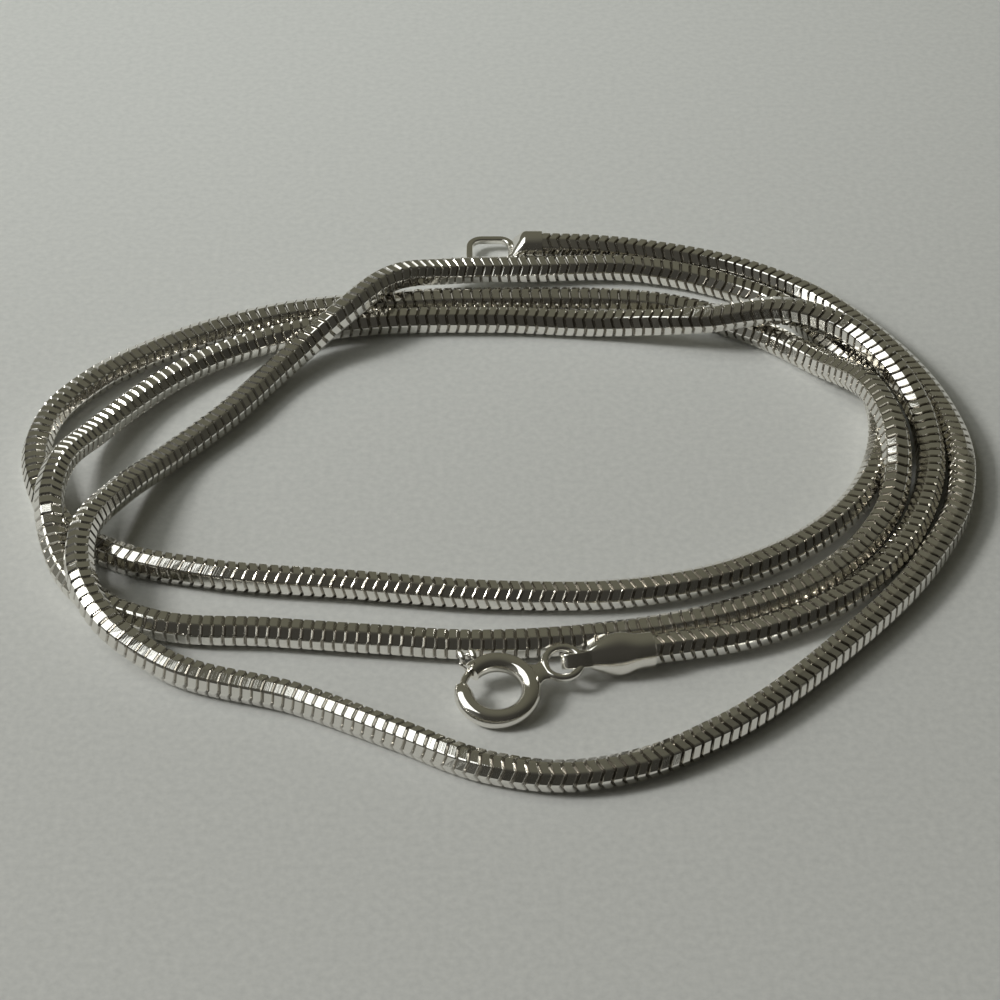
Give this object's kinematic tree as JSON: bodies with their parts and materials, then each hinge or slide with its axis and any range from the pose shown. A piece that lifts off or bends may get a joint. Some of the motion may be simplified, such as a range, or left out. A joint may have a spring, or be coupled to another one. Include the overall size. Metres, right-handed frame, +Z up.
{
  "type": "snake chain necklace",
  "caption": "Silver snake chain of eight-sided section, lying in loose overlapping coils, with a spring ring clasp on one end cap and a flat loop on the other.",
  "frame": {"origin": "middle of the footprint on the surface that the necklace lies on", "axes": "+Z up, +X along the long way of the coil towards the viewer's right, +Y away from the clasp"},
  "size_m": [0.0683, 0.0605, 0.0045],
  "materials": {
    "chain_silver": "polished silver links",
    "cap_silver": "polished silver sheet",
    "clasp_silver": "polished silver"
  },
  "bodies": {
    "necklace": {"chain_run": "chain_silver", "clasp_end_cap": "cap_silver", "free_end_cap": "cap_silver", "clasp_ring": "clasp_silver"},
    "bolt": {"clasp_bolt": "clasp_silver"}
  },
  "joints": [
    {"name": "bolt_slide", "type": "hinge", "parent": "necklace", "child": "bolt", "pos_m": [-0.00007, -0.02156, 0.00113], "axis": [0, 0.2134, -0.977], "range_deg": [0, 38], "stiffness_Nm_per_rad": 0.0005, "springref_deg": -17.19}
  ]
}
